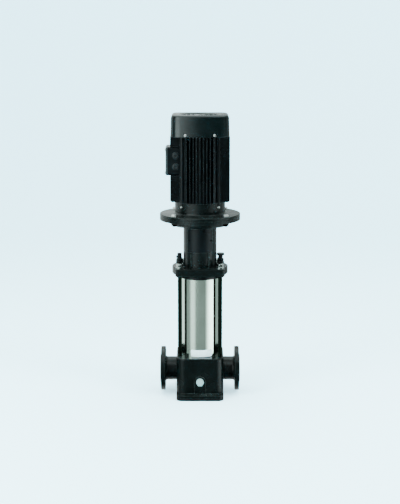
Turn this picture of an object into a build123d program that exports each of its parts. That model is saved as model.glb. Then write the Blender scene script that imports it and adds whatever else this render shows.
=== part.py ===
from build123d import *
from math import asin, cos, degrees, radians, sin, sqrt
import os

# Vertical in-line multistage pump with a flanged, fan-cooled motor.
# Millimetres. +Z is up and is the shaft axis, z = 0 is the underside of the base plate,
# -Y is the front, -X is the suction side and +X the discharge side.

# ---- foot, block and in-line ports
foot_width = 176.0
foot_length = 251.0
foot_corner = 22.0
base_plate_thickness = 9.0
foot_flange_thickness = 11.0
seam_chamfer = 1.0
foot_hole_diameter = 13.5
foot_hole_spacing_x = 130.0
foot_hole_spacing_y = 215.0
block_depth = 196.0
block_corner = 34.0
block_height = 132.0
block_edge_radius = 4.0
port_face_distance = 300.0
port_height = 90.0
port_bore = 50.0
neck_diameter = 88.0
flange_diameter = 165.0
flange_thickness = 20.0
flange_edge = 1.5
neck_root_radius = 8.0
raised_face_diameter = 102.0
raised_face_height = 3.0
flange_bolt_circle = 125.0
flange_bolt_hole = 18.0
flange_bolt_count = 4
suction_chamber_inset = 23.0
suction_chamber_floor = 60.0
port_lap = 20.0
chamber_wall_thickness = 6.0
drain_height = 65.0
drain_thread = 21.0
drain_boss_diameter = 42.0
drain_collar_diameter = 28.0
drain_boss_height = 3.0
drain_head_across_flats = 25.0
drain_head_height = 9.0
drain_collar_height = 2.0
drain_shank_length = 16.0
drain_runout = 1.0

# ---- hydraulic stack
stage_count = 7
stage_height = 45.0
stack_seat_depth = 32.0
stack_wall = 2.0
stack_annulus = 9.0
inlet_part_height = 16.0
inlet_disc_thickness = 4.0
outlet_part_height = 16.0
outlet_part_wall = 6.0
outlet_window_count = 6
outlet_window_width = 30.0
outlet_window_height = 8.0
stage_disc_thickness = 3.0
guide_plate_thickness = 2.0
guide_plate_inset = 11.0
guide_plate_level = 24.0
guide_vane_count = 8
guide_vane_sweep = 40.0
vane_thickness = 2.0
eye_diameter = 39.6
neck_ring_thickness = 2.0
neck_clearance = 0.1
bush_thickness = 3.0
bush_height = 5.0
running_clearance = 0.05
impeller_tip_inset = 2.0
impeller_shroud = 2.0
impeller_lift = 4.0
impeller_width = 18.0
impeller_vane_count = 6
impeller_vane_sweep = 70.0
impeller_eye_wall = 2.0
impeller_hub_wall = 4.0
strap_width = 20.0
strap_thickness = 2.0
pump_shaft_diameter = 18.0
pump_shaft_tail = 24.0
shaft_nut_across_flats = 27.0
shaft_nut_height = 10.0

# ---- outer sleeve and staybolts
sleeve_diameter = 148.0
sleeve_wall = 2.0
sleeve_seat_depth = 12.0
sleeve_fit = 0.15
seal_width = 3.0
seal_thickness = 2.0
seal_inset = 4.0
staybolt_diameter = 16.0
staybolt_gap = 8.14
staybolt_angle = 33.69
staybolt_depth = 24.0
staybolt_end = 3.0
staybolt_hole_clearance = 0.5
nut_across_flats = 24.0
nut_height = 13.0
washer_diameter = 30.0
washer_thickness = 3.0

# ---- pump head, its plugs and the shaft seal
head_side_margin = 16.0
head_depth = 176.0
head_corner = 10.0
head_lobe_radius = 104.5
head_flange_thickness = 30.0
head_collar_height = 12.0
head_collar_wall = 4.0
head_crown = 19.0
head_under_chamfer = 5.0
head_edge_radius = 3.0
stack_end_gap = 2.0
boss_offset = 77.0
boss_diameter = 27.0
boss_height = 16.0
plug_thread = 17.0
plug_depth = 18.0
plug_clearance = 0.1
plug_across_flats = 22.0
plug_hex_height = 9.0
plug_neck_height = 14.0
cap_height = 7.0
priming_cap_diameter = 29.0
vent_neck_diameter = 18.0
vent_spindle_diameter = 8.0
vent_spindle_depth = 14.0
vent_knob_diameter = 17.0
vent_knob_gap = 0.3
vent_slot_width = 2.0
vent_slot_depth = 2.0
vent_outlet_diameter = 8.0
vent_outlet_length = 13.0
cover_bore = 64.0
cover_diameter = 100.0
cover_thickness = 8.0
cover_spigot = 16.0
seal_seat_diameter = 28.0
seal_seat_height = 10.0
seal_ring_height = 13.0
seal_ring_wall = 4.0
seal_seat_clearance = 2.0
cover_shaft_clearance = 4.0
cover_fit = 0.1

# ---- motor stool, guards and coupling
stool_height = 187.0
stool_diameter = 124.0
stool_wall = 10.0
stool_flange_thickness = 12.0
stool_shoulder_inset = 17.5
stool_shoulder_height = 19.0
stool_throat_height = 8.0
stool_rim = 20.0
stool_rib_offset = 33.0
stool_rib_width = 4.0
stool_rib_depth = 5.0
window_width = 72.0
window_sill = 63.0
window_height = 76.0
guard_lap = 6.0
guard_side_lap = 10.0
guard_thickness = 1.6
guard_gap = 0.3
guard_screw_diameter = 3.0
guard_screw_length = 6.0
guard_screw_head = 6.5
coupling_diameter = 72.0
coupling_length = 95.0
coupling_floor = 57.0
coupling_gap = 2.0
coupling_screw_diameter = 8.0
coupling_screw_offset = 27.5
coupling_screw_inset = 17.0
coupling_head_diameter = 13.0
coupling_head_height = 8.0
coupling_seat = 16.0
coupling_head_clearance = 0.3

# ---- motor
motor_flange_diameter = 300.0
motor_flange_thickness = 12.0
motor_spigot_inset = 17.5
motor_spigot_height = 5.0
motor_spigot_fit = 0.1
motor_bolt_edge = 17.5
motor_bolt_diameter = 12.0
motor_bolt_hole = 13.5
motor_bolt_across_flats = 19.0
motor_bolt_head = 7.5
motor_nut_height = 10.0
motor_bolt_stub = 3.0
bolt_angles = (45, 135, 225, 315)
shield_neck_step = 2.0
shield_neck_height = 45.0
shield_root_radius = 7.0
shield_lug_height = 12.0
flange_rim_chamfer = 1.2
lug_diameter = 18.0
housing_height = 246.0
housing_diameter = 184.0
housing_wall = 8.0
fin_count = 9
fin_pitch = 12.5
fin_thickness = 3.0
fin_height = 18.0
fin_corner = 9.0
fin_end_gap = 2.0
stator_inner_diameter = 102.6
stator_length = 140.0
stator_level = 43.0
winding_gap = 3.0
winding_depth = 24.0
winding_chamfer = 6.0
winding_height = 25.0
air_gap = 0.8
motor_shaft_diameter = 38.0
motor_shaft_reach = 80.0
bearing_journal_diameter = 40.0
core_journal_diameter = 48.0
fan_journal_diameter = 30.0
shaft_hole_clearance = 0.5
drive_bearing_diameter = 90.0
drive_bearing_width = 23.0
drive_bearing_level = 19.0
rear_bearing_diameter = 80.0
rear_bearing_width = 18.0
inner_ring_thickness = 6.5
outer_ring_thickness = 6.5
ball_count = 7
ball_clearance = 0.05
rear_shield_thickness = 10.0
rear_hub_wall = 8.0
rear_hub_cap = 2.0
cover_arm_offset = 53.0
cover_arm_width = 14.0
cover_arm_height = 13.0
cover_arm_gap = 0.3

# ---- fan and fan cover
fan_cover_inset = 2.0
fan_cover_height = 78.0
fan_cover_corner = 35.0
fan_cover_taper = 1.5
fan_cover_wall = 2.5
fan_cover_edge = 10.0
dish_depth = 3.0
dish_margin = 30.0
dish_slope = 8.0
grille_ring_count = 3
grille_bar = 5.0
grille_hub_diameter = 44.0
grille_spoke_count = 6
grille_spoke_width = 8.0
fan_gap = 2.0
fan_side_gap = 21.5
fan_plate_thickness = 3.0
fan_blade_height = 25.0
fan_blade_thickness = 2.5
fan_blade_count = 8
fan_hub_wall = 6.0
cover_screw_diameter = 5.0
cover_screw_length = 12.0
cover_screw_head = 10.0
cover_screw_head_height = 3.0

# ---- terminal box, on the -X side of the motor
box_depth = 27.0
box_saddle_depth = 24.0
box_width = 104.0
box_height = 105.0
box_level = 101.0
box_wall = 5.0
box_corner = 8.0
box_clearance = 0.15
box_pocket_gap = 2.0
lid_thickness = 8.0
entry_diameter = 20.0
entry_inset = 30.0
entry_spacing = 41.0
entry_boss_diameter = 28.0
entry_boss_height = 2.0
entry_plug_diameter = 24.0
entry_plug_height = 4.0

# ---- levels and radii that follow from the sizes above
foot_top = base_plate_thickness + foot_flange_thickness
block_top = foot_top + block_height
port_face = port_face_distance / 2
drain_face = block_depth / 2 + drain_boss_height
stack_seat = block_top - stack_seat_depth
first_stage = stack_seat + inlet_part_height
last_stage_top = first_stage + stage_count * stage_height
stack_top = last_stage_top + outlet_part_height
sleeve_bottom = block_top - sleeve_seat_depth
head_ceiling = stack_top + stack_end_gap
head_top = head_ceiling + head_crown
head_flange_bottom = head_top - head_flange_thickness
head_bottom = head_flange_bottom - head_collar_height
sleeve_top = head_bottom + sleeve_seat_depth
sleeve_radius = sleeve_diameter / 2
stack_radius = sleeve_radius - sleeve_wall - stack_annulus
suction_chamber_radius = stack_radius - suction_chamber_inset
guide_plate_radius = stack_radius - guide_plate_inset
impeller_radius = guide_plate_radius - impeller_tip_inset
sleeve_seat_radius = sleeve_radius + sleeve_fit
water_radius = sleeve_radius - 2 * sleeve_wall
boss_top = head_top + boss_height
cover_top = head_top + cover_thickness
motor_face = head_top + stool_height
stool_flange_bottom = motor_face - stool_flange_thickness
stool_shoulder_bottom = stool_flange_bottom - stool_shoulder_height
window_bottom = head_top + window_sill
window_top = window_bottom + window_height
coupling_bottom = head_top + coupling_floor
coupling_top = coupling_bottom + coupling_length
motor_shaft_end = motor_face - motor_shaft_reach
pump_shaft_top = motor_shaft_end - coupling_gap
motor_flange_top = motor_face + motor_flange_thickness
housing_bottom = motor_flange_top + shield_neck_height
housing_top = housing_bottom + housing_height
stator_bottom = housing_bottom + stator_level
stator_top = stator_bottom + stator_length
housing_radius = housing_diameter / 2
housing_bore = housing_radius - housing_wall
drive_bearing_bottom = motor_face + drive_bearing_level
drive_bearing_top = drive_bearing_bottom + drive_bearing_width
rear_bearing_top = housing_top + rear_bearing_width
rear_hub_top = rear_bearing_top + rear_hub_cap
fan_bottom = rear_hub_top + fan_gap
fan_top = fan_bottom + fan_plate_thickness + fan_blade_height
total_height = housing_top + fan_cover_height
box_bottom = housing_bottom + box_level
box_top = box_bottom + box_height
staybolt_reach = sleeve_radius + staybolt_gap + staybolt_diameter / 2
staybolt_x = staybolt_reach * cos(radians(staybolt_angle))
staybolt_y = staybolt_reach * sin(radians(staybolt_angle))
staybolt_places = [(x * staybolt_x, y * staybolt_y) for x in (-1, 1) for y in (-1, 1)]
head_width = 2 * (staybolt_x + head_side_margin)
motor_bolt_radius = motor_flange_diameter / 2 - motor_bolt_edge
motor_bolt_places = [
    (motor_bolt_radius * cos(radians(a)), motor_bolt_radius * sin(radians(a))) for a in bolt_angles
]
fin_reach = housing_radius + fin_height
box_reach = housing_radius + box_depth
box_root = housing_radius - box_saddle_depth
fan_cover_width = 2 * (fin_reach - fan_cover_inset)


def disc(low, high, outer, inner=0.0, places=((0, 0),), mode=Mode.ADD):
    """Add or cut round discs, or rings when inner is given, between two heights."""
    with BuildSketch(Plane.XY.offset(low)) as face:
        with Locations(*places):
            Circle(outer)
            if inner:
                Circle(inner, mode=Mode.SUBTRACT)
    extrude(face.sketch, amount=high - low, mode=mode)


def hexagon(low, high, across_flats, bore=0.0, places=((0, 0),)):
    """Add hexagonal heads or nuts between two heights."""
    with BuildSketch(Plane.XY.offset(low)) as face:
        with Locations(*places):
            RegularPolygon(across_flats / 2, 6, major_radius=False)
            if bore:
                Circle(bore, mode=Mode.SUBTRACT)
    extrude(face.sketch, amount=high - low)


def curved_vanes(count, inner, outer, sweep, low, high):
    """Add a ring of vanes that curve back through the sweep angle between two radii."""
    tip = (outer * cos(radians(sweep)), outer * sin(radians(sweep)))
    with BuildSketch(Plane.XY.offset(low)) as vane:
        with BuildLine():
            RadiusArc((inner, 0), tip, -outer)
        trace(line_width=vane_thickness)
    with BuildSketch(Plane.XY.offset(low)) as vanes:
        with PolarLocations(0, count):
            add(vane.sketch.moved(Location((0, 0, -low))))
    extrude(vanes.sketch, amount=high - low)


# ---- base: plate, block casting, its two flanged ports and the drain plug
with BuildPart() as base_plate:
    with BuildSketch():
        RectangleRounded(foot_width, foot_length, foot_corner)
        with GridLocations(foot_hole_spacing_x, foot_hole_spacing_y, 2, 2):
            Circle(foot_hole_diameter / 2, mode=Mode.SUBTRACT)
    extrude(amount=base_plate_thickness)
    rim = base_plate.faces().sort_by(Axis.Z)[-1].outer_wire().edges()
    chamfer(rim, seam_chamfer)
base_plate.part.label = "base_plate"
export_step(base_plate.part, "parts/base_plate.step")

with BuildPart() as port_base:
    with BuildSketch(Plane.XY.offset(base_plate_thickness)):
        RectangleRounded(foot_width, foot_length, foot_corner)
    extrude(amount=foot_flange_thickness)
    chamfer(port_base.faces().sort_by(Axis.Z)[0].edges(), seam_chamfer)
    with BuildSketch(Plane.XY.offset(foot_top)):
        RectangleRounded(foot_width, block_depth, block_corner)
    extrude(amount=block_height)
    fillet(port_base.faces().sort_by(Axis.Z)[-1].edges(), block_edge_radius)
    with BuildSketch(Plane.XZ.offset(block_depth / 2)):
        with Locations((0, drain_height)):
            Circle(drain_boss_diameter / 2)
        with Locations((0, (foot_top + drain_height) / 2)):
            Rectangle(drain_boss_diameter, drain_height - foot_top)
    extrude(amount=drain_boss_height)
    # holes for the staybolts and the anchor bolts
    disc(
        block_top - staybolt_depth,
        block_top,
        staybolt_diameter / 2,
        places=staybolt_places,
        mode=Mode.SUBTRACT,
    )
    with BuildSketch(Plane.XY.offset(base_plate_thickness)):
        with GridLocations(foot_hole_spacing_x, foot_hole_spacing_y, 2, 2):
            Circle(foot_hole_diameter / 2)
    extrude(amount=foot_flange_thickness, mode=Mode.SUBTRACT)
    # one stepped bore: suction chamber, stack seat, water space, sleeve seat with its seal groove
    groove_top = block_top - seal_inset
    groove_radius = sleeve_seat_radius + seal_thickness
    with BuildSketch(Plane.XZ):
        with BuildLine():
            Polyline(
                (0, suction_chamber_floor),
                (suction_chamber_radius, suction_chamber_floor),
                (suction_chamber_radius, stack_seat),
                (water_radius, stack_seat),
                (water_radius, sleeve_bottom),
                (sleeve_seat_radius, sleeve_bottom),
                (sleeve_seat_radius, groove_top - seal_width),
                (groove_radius, groove_top - seal_width),
                (groove_radius, groove_top),
                (sleeve_seat_radius, groove_top),
                (sleeve_seat_radius, block_top),
                (0, block_top),
                close=True,
            )
        make_face()
    revolve(axis=Axis.Z, mode=Mode.SUBTRACT)
    # discharge pocket round the suction chamber's wall, on the +X side
    with BuildSketch(Plane.XY.offset(suction_chamber_floor)):
        Circle(water_radius)
        Circle(suction_chamber_radius + chamber_wall_thickness, mode=Mode.SUBTRACT)
        with Locations((water_radius / 2, 0)):
            Rectangle(water_radius, 2 * suction_chamber_radius, mode=Mode.INTERSECT)
    extrude(amount=stack_seat - suction_chamber_floor, mode=Mode.SUBTRACT)
    for side, bore_end in (
        (-1, suction_chamber_radius - port_lap),
        (1, water_radius - port_lap / 2),
    ):
        with BuildSketch(Plane.YZ.offset(side * foot_width / 2)):
            with Locations((0, port_height)):
                Circle(port_bore / 2)
        extrude(amount=-side * (foot_width / 2 - bore_end), mode=Mode.SUBTRACT)
    with BuildSketch(Plane.XZ.offset(drain_face)):
        with Locations((0, drain_height)):
            Circle(drain_thread / 2)
    extrude(amount=suction_chamber_radius - drain_face - drain_runout, mode=Mode.SUBTRACT)
port_base.part.label = "port_base"
export_step(port_base.part, "parts/port_base.step")

for name, side in (("suction_flange", -1), ("discharge_flange", 1)):
    with BuildPart() as port_flange:
        with BuildSketch(Plane.YZ.offset(side * foot_width / 2)):
            with Locations((0, port_height)):
                Circle(neck_diameter / 2)
        extrude(amount=side * (port_face - flange_thickness - foot_width / 2))
        with BuildSketch(Plane.YZ.offset(side * (port_face - flange_thickness))):
            with Locations((0, port_height)):
                Circle(flange_diameter / 2)
        extrude(amount=side * (flange_thickness - raised_face_height))
        with BuildSketch(Plane.YZ.offset(side * (port_face - raised_face_height))):
            with Locations((0, port_height)):
                Circle(raised_face_diameter / 2)
        extrude(amount=side * raised_face_height)
        rounds = port_flange.edges().filter_by(GeomType.CIRCLE)
        chamfer(rounds.filter_by(lambda edge: edge.radius > raised_face_diameter / 2), flange_edge)
        fillet(
            port_flange.edges()
            .filter_by(GeomType.CIRCLE)
            .filter_by(lambda edge: edge.radius < raised_face_diameter / 2)
            .sort_by(lambda edge: abs(edge.center().X))[-1],
            neck_root_radius,
        )
        with BuildSketch(Plane.YZ.offset(side * port_face)):
            with Locations((0, port_height)):
                Circle(port_bore / 2)
                with PolarLocations(flange_bolt_circle / 2, flange_bolt_count, start_angle=45):
                    Circle(flange_bolt_hole / 2)
        extrude(amount=-side * (port_face - foot_width / 2), mode=Mode.SUBTRACT)
    port_flange.part.label = name
    export_step(port_flange.part, f"parts/{name}.step")

with BuildPart() as drain_plug:
    with BuildSketch(Plane.XZ.offset(drain_face)):
        with Locations((0, drain_height)):
            Circle(drain_collar_diameter / 2)
    extrude(amount=drain_collar_height)
    with BuildSketch(Plane.XZ.offset(drain_face + drain_collar_height)):
        with Locations((0, drain_height)):
            RegularPolygon(drain_head_across_flats / 2, 6, major_radius=False)
    extrude(amount=drain_head_height)
    with BuildSketch(Plane.XZ.offset(drain_face)):
        with Locations((0, drain_height)):
            Circle(drain_thread / 2 - plug_clearance)
    extrude(amount=-drain_shank_length)
drain_plug.part.label = "drain_plug"
export_step(drain_plug.part, "parts/drain_plug.step")

# ---- hydraulic stack: inlet part, stages, outlet part and straps
neck_ring_inner = eye_diameter / 2 + neck_clearance
neck_ring_outer = neck_ring_inner + neck_ring_thickness
shaft_radius = pump_shaft_diameter / 2
bush_inner = shaft_radius + running_clearance
bush_outer = bush_inner + bush_thickness

with BuildPart() as inlet_part:
    disc(first_stage - inlet_disc_thickness, first_stage, stack_radius, neck_ring_outer)
    disc(
        stack_seat,
        first_stage - inlet_disc_thickness,
        suction_chamber_radius + chamber_wall_thickness,
        suction_chamber_radius,
    )
inlet_part.part.label = "inlet_part"
export_step(inlet_part.part, "parts/inlet_part.step")

for number in range(1, stage_count + 1):
    floor = first_stage + (number - 1) * stage_height
    ceiling = floor + stage_height - stage_disc_thickness
    plate = floor + guide_plate_level
    with BuildPart() as chamber:
        disc(floor, floor + stage_height, stack_radius, stack_radius - stack_wall)
        disc(ceiling, floor + stage_height, stack_radius, neck_ring_outer)
        disc(plate, plate + guide_plate_thickness, guide_plate_radius, bush_outer)
        curved_vanes(
            guide_vane_count,
            neck_ring_outer + vane_thickness,
            guide_plate_radius,
            guide_vane_sweep,
            plate + guide_plate_thickness,
            ceiling,
        )
    chamber.part.label = f"chamber_{number}"
    export_step(chamber.part, f"parts/chamber_{number}.step")

    with BuildPart() as impeller:
        low = floor + impeller_lift
        high = low + impeller_width
        eye_inner = eye_diameter / 2 - impeller_eye_wall
        disc(low, low + impeller_shroud, impeller_radius, eye_inner)
        disc(floor - stage_disc_thickness, low + impeller_shroud, eye_diameter / 2, eye_inner)
        disc(high - impeller_shroud, high, impeller_radius, shaft_radius)
        disc(low, high, shaft_radius + impeller_hub_wall, shaft_radius)
        curved_vanes(
            impeller_vane_count,
            eye_diameter / 2,
            impeller_radius - vane_thickness,
            impeller_vane_sweep,
            low + impeller_shroud,
            high - impeller_shroud,
        )
    impeller.part.label = f"impeller_{number}"
    export_step(impeller.part, f"parts/impeller_{number}.step")

# a neck ring seals each impeller's eye and a bush steadies the shaft above it
with BuildPart() as stage_wear_rings:
    for number in range(stage_count):
        stage_floor = first_stage + number * stage_height
        bush_level = stage_floor + guide_plate_level
        disc(stage_floor - stage_disc_thickness, stage_floor, neck_ring_outer, neck_ring_inner)
        disc(bush_level, bush_level + bush_height, bush_outer, bush_inner)
stage_wear_rings.part.label = "stage_wear_rings"
export_step(stage_wear_rings.part, "parts/stage_wear_rings.step")

with BuildPart() as outlet_part:
    disc(last_stage_top, stack_top, stack_radius, stack_radius - outlet_part_wall)
    with BuildSketch(Plane.XY.offset(last_stage_top)):
        with PolarLocations(stack_radius, outlet_window_count):
            Rectangle(4 * outlet_part_wall, outlet_window_width)
    extrude(amount=outlet_window_height, mode=Mode.SUBTRACT)
outlet_part.part.label = "outlet_part"
export_step(outlet_part.part, "parts/outlet_part.step")

with BuildPart() as stack_straps:
    with BuildSketch(Plane.XY.offset(first_stage - inlet_disc_thickness)):
        Circle(stack_radius + strap_thickness)
        Circle(stack_radius, mode=Mode.SUBTRACT)
        Rectangle(strap_width, 3 * stack_radius, mode=Mode.INTERSECT)
    extrude(amount=stack_top - first_stage + inlet_disc_thickness)
stack_straps.part.label = "stack_straps"
export_step(stack_straps.part, "parts/stack_straps.step")

with BuildPart() as pump_shaft:
    disc(first_stage - pump_shaft_tail, pump_shaft_top, shaft_radius)
    chamfer(pump_shaft.edges().filter_by(GeomType.CIRCLE), seam_chamfer)
pump_shaft.part.label = "pump_shaft"
export_step(pump_shaft.part, "parts/pump_shaft.step")

with BuildPart() as shaft_nut:
    nut_floor = first_stage - pump_shaft_tail + 2 * seam_chamfer
    hexagon(nut_floor, nut_floor + shaft_nut_height, shaft_nut_across_flats, shaft_radius)
shaft_nut.part.label = "shaft_nut"
export_step(shaft_nut.part, "parts/shaft_nut.step")

# ---- outer sleeve, its seal rings and the staybolts
with BuildPart() as outer_sleeve:
    disc(sleeve_bottom, sleeve_top, sleeve_radius, sleeve_radius - sleeve_wall)
outer_sleeve.part.label = "outer_sleeve"
export_step(outer_sleeve.part, "parts/outer_sleeve.step")

with BuildPart() as sleeve_seals:
    for level in (block_top - seal_inset - seal_width, head_bottom + seal_inset):
        disc(level, level + seal_width, sleeve_seat_radius + seal_thickness, sleeve_radius)
sleeve_seals.part.label = "sleeve_seals"
export_step(sleeve_seals.part, "parts/sleeve_seals.step")

staybolt_top = head_top + washer_thickness + nut_height + staybolt_end
with BuildPart() as staybolts:
    disc(block_top - staybolt_depth, staybolt_top, staybolt_diameter / 2, places=staybolt_places)
staybolts.part.label = "staybolts"
export_step(staybolts.part, "parts/staybolts.step")

washer_top = head_top + washer_thickness
with BuildPart() as staybolt_washers:
    disc(head_top, washer_top, washer_diameter / 2, staybolt_diameter / 2, staybolt_places)
with BuildPart() as staybolt_nuts:
    hexagon(
        washer_top,
        washer_top + nut_height,
        nut_across_flats,
        staybolt_diameter / 2,
        staybolt_places,
    )
staybolt_nut_sets = Compound(children=staybolt_washers.solids() + staybolt_nuts.solids())
staybolt_nut_sets.label = "staybolt_nut_sets"
export_step(staybolt_nut_sets, "parts/staybolt_nut_sets.step")

# ---- pump head with its two plug bosses
lobe_half_depth = sqrt(head_lobe_radius**2 - (head_width / 2) ** 2)
with BuildPart() as pump_head:
    with BuildSketch(Plane.XY.offset(head_flange_bottom)):
        Circle(head_lobe_radius)
        Rectangle(3 * head_lobe_radius, 2 * lobe_half_depth, mode=Mode.INTERSECT)
        RectangleRounded(head_width, head_depth, head_corner)
    extrude(amount=head_flange_thickness)
    chamfer(pump_head.faces().sort_by(Axis.Z)[0].edges(), head_under_chamfer)
    fillet(pump_head.faces().sort_by(Axis.Z)[-1].edges(), head_edge_radius)
    disc(head_bottom, head_flange_bottom, sleeve_radius + head_collar_wall)
    disc(head_top, boss_top, boss_diameter / 2, places=((boss_offset, 0), (-boss_offset, 0)))
    disc(head_bottom, sleeve_top, sleeve_seat_radius, mode=Mode.SUBTRACT)
    disc(
        head_bottom + seal_inset,
        head_bottom + seal_inset + seal_width,
        sleeve_seat_radius + seal_thickness,
        mode=Mode.SUBTRACT,
    )
    disc(sleeve_top, head_ceiling, water_radius, mode=Mode.SUBTRACT)
    disc(head_ceiling, head_top, cover_bore / 2, mode=Mode.SUBTRACT)
    disc(
        boss_top - plug_depth,
        boss_top,
        plug_thread / 2,
        places=((boss_offset, 0), (-boss_offset, 0)),
        mode=Mode.SUBTRACT,
    )
    disc(
        head_flange_bottom,
        head_top,
        staybolt_diameter / 2 + staybolt_hole_clearance,
        places=staybolt_places,
        mode=Mode.SUBTRACT,
    )
pump_head.part.label = "pump_head"
export_step(pump_head.part, "parts/pump_head.step")

hex_top = boss_top + plug_hex_height
neck_top = hex_top + plug_neck_height
with BuildPart() as priming_plug:
    disc(boss_top - plug_depth, boss_top, plug_thread / 2 - plug_clearance, places=((boss_offset, 0),))
    hexagon(boss_top, hex_top, plug_across_flats, places=((boss_offset, 0),))
    disc(hex_top, neck_top, vent_neck_diameter / 2, places=((boss_offset, 0),))
    disc(neck_top, neck_top + cap_height, priming_cap_diameter / 2, places=((boss_offset, 0),))
priming_plug.part.label = "priming_plug"
export_step(priming_plug.part, "parts/priming_plug.step")

vent_place = ((-boss_offset, 0),)
with BuildPart() as vent_plug:
    disc(boss_top - plug_depth, boss_top, plug_thread / 2 - plug_clearance, places=vent_place)
    hexagon(boss_top, hex_top, plug_across_flats, places=vent_place)
    disc(hex_top, neck_top, vent_neck_diameter / 2, places=vent_place)
    with BuildSketch(Plane.YZ.offset(-boss_offset)):
        with Locations((0, (hex_top + neck_top) / 2)):
            Circle(vent_outlet_diameter / 2)
    extrude(amount=-vent_outlet_length)
    disc(
        neck_top - vent_spindle_depth,
        neck_top,
        vent_spindle_diameter / 2,
        places=vent_place,
        mode=Mode.SUBTRACT,
    )
vent_plug.part.label = "vent_plug"
export_step(vent_plug.part, "parts/vent_plug.step")

with BuildPart() as vent_spindle:
    disc(
        neck_top - vent_spindle_depth + vent_knob_gap,
        neck_top + vent_knob_gap,
        vent_spindle_diameter / 2 - running_clearance,
        places=vent_place,
    )
    disc(
        neck_top + vent_knob_gap,
        neck_top + cap_height,
        vent_knob_diameter / 2,
        places=vent_place,
    )
    with BuildSketch(Plane.XY.offset(neck_top + cap_height)):
        with Locations(*vent_place):
            Rectangle(vent_knob_diameter, vent_slot_width)
    extrude(amount=-vent_slot_depth, mode=Mode.SUBTRACT)
vent_spindle.part.label = "vent_spindle"
export_step(vent_spindle.part, "parts/vent_spindle.step")

# ---- head cover and shaft seal
seal_face = head_top - cover_spigot
with BuildPart() as head_cover:
    disc(head_top, cover_top, cover_diameter / 2, shaft_radius + cover_shaft_clearance)
    disc(seal_face, head_top, cover_bore / 2 - cover_fit, seal_seat_diameter / 2)
head_cover.part.label = "head_cover"
export_step(head_cover.part, "parts/head_cover.step")

with BuildPart() as seal_seat:
    disc(
        head_top - seal_seat_height,
        head_top,
        seal_seat_diameter / 2,
        shaft_radius + seal_seat_clearance,
    )
seal_seat.part.label = "seal_seat"
export_step(seal_seat.part, "parts/seal_seat.step")

with BuildPart() as seal_ring:
    seal_ring_top = head_top - seal_seat_height - running_clearance
    disc(seal_ring_top - seal_ring_height, seal_ring_top, shaft_radius + seal_ring_wall, shaft_radius)
seal_ring.part.label = "seal_ring"
export_step(seal_ring.part, "parts/seal_ring.step")

# ---- motor stool, its two windows and the guards that close them
stool_radius = stool_diameter / 2
stool_bore = stool_radius - stool_wall
shoulder_radius = motor_bolt_radius - stool_shoulder_inset
throat_bottom = stool_shoulder_bottom - stool_throat_height
flange_radius = motor_flange_diameter / 2
spigot_radius = motor_bolt_radius - motor_spigot_inset
recess_floor = motor_face - motor_spigot_height - motor_spigot_fit
guard_half_width = window_width / 2 + guard_side_lap
guard_inner = stool_radius - guard_thickness
screw_angle = degrees(asin((guard_half_width - guard_side_lap / 2) / stool_radius))
guard_middle = (window_bottom + window_top) / 2


def guard_patch(outer, inner, half_width, low, high, side, mode=Mode.ADD):
    """Add or cut the part of a ring that lies within a half width, on one side of the axis."""
    with BuildSketch(Plane.XY.offset(low)) as patch:
        Circle(outer)
        Circle(inner, mode=Mode.SUBTRACT)
        with Locations((0, side * outer / 2)):
            Rectangle(2 * half_width, outer, mode=Mode.INTERSECT)
    extrude(patch.sketch, amount=high - low, mode=mode)


def guard_screw_holes(depth, sides=(-1, 1)):
    """Cut the guard screw holes radially from the outside of the stool."""
    for side in sides:
        for turn in (-screw_angle, screw_angle):
            angle = radians(side * 90 + turn)
            way = Vector(cos(angle), sin(angle), 0)
            spot = way * stool_radius + Vector(0, 0, guard_middle)
            with BuildSketch(Plane(origin=spot, z_dir=way)) as hole:
                Circle(guard_screw_diameter / 2)
            extrude(hole.sketch, amount=-depth, mode=Mode.SUBTRACT)


with BuildPart() as motor_stool:
    with BuildSketch(Plane.XZ):
        with BuildLine():
            Polyline(
                (stool_bore, head_top),
                (stool_radius, head_top),
                (stool_radius, throat_bottom),
            )
            RadiusArc(
                (stool_radius, throat_bottom),
                (stool_radius + stool_throat_height, stool_shoulder_bottom),
                stool_throat_height,
            )
            Polyline(
                (stool_radius + stool_throat_height, stool_shoulder_bottom),
                (shoulder_radius - stool_throat_height, stool_shoulder_bottom),
                (shoulder_radius, stool_shoulder_bottom + stool_throat_height),
                (shoulder_radius, stool_flange_bottom),
                (flange_radius, stool_flange_bottom),
                (flange_radius, motor_face),
                (spigot_radius, motor_face),
                (spigot_radius, recess_floor),
                (spigot_radius - stool_rim, recess_floor),
                (spigot_radius - stool_rim, stool_shoulder_bottom + stool_throat_height),
                (stool_bore, stool_shoulder_bottom),
                (stool_bore, head_top),
            )
        make_face()
    revolve(axis=Axis.Z)
    rims = motor_stool.edges().filter_by(GeomType.CIRCLE).sort_by(SortBy.RADIUS)[-2:]
    chamfer(rims, flange_rim_chamfer)
    with BuildSketch(Plane.XY.offset(head_top)):
        rib_foot = sqrt(stool_radius**2 - stool_rib_offset**2)
        for side in (-1, 1):
            for across in (-stool_rib_offset, stool_rib_offset):
                with Locations((across, side * rib_foot)):
                    Rectangle(stool_rib_width, 2 * stool_rib_depth)
    extrude(amount=window_sill - guard_lap)
    for side in (-1, 1):
        guard_patch(
            stool_radius + stool_rib_depth,
            stool_bore - stool_wall,
            window_width / 2,
            window_bottom,
            window_top,
            side,
            mode=Mode.SUBTRACT,
        )
        guard_patch(
            stool_radius + stool_rib_depth,
            guard_inner,
            guard_half_width,
            window_bottom - guard_lap,
            window_top + guard_lap,
            side,
            mode=Mode.SUBTRACT,
        )
    guard_screw_holes(guard_screw_length + guard_gap)
    disc(
        stool_flange_bottom,
        motor_face,
        motor_bolt_hole / 2,
        places=motor_bolt_places,
        mode=Mode.SUBTRACT,
    )
motor_stool.part.label = "motor_stool"
export_step(motor_stool.part, "parts/motor_stool.step")

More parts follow.
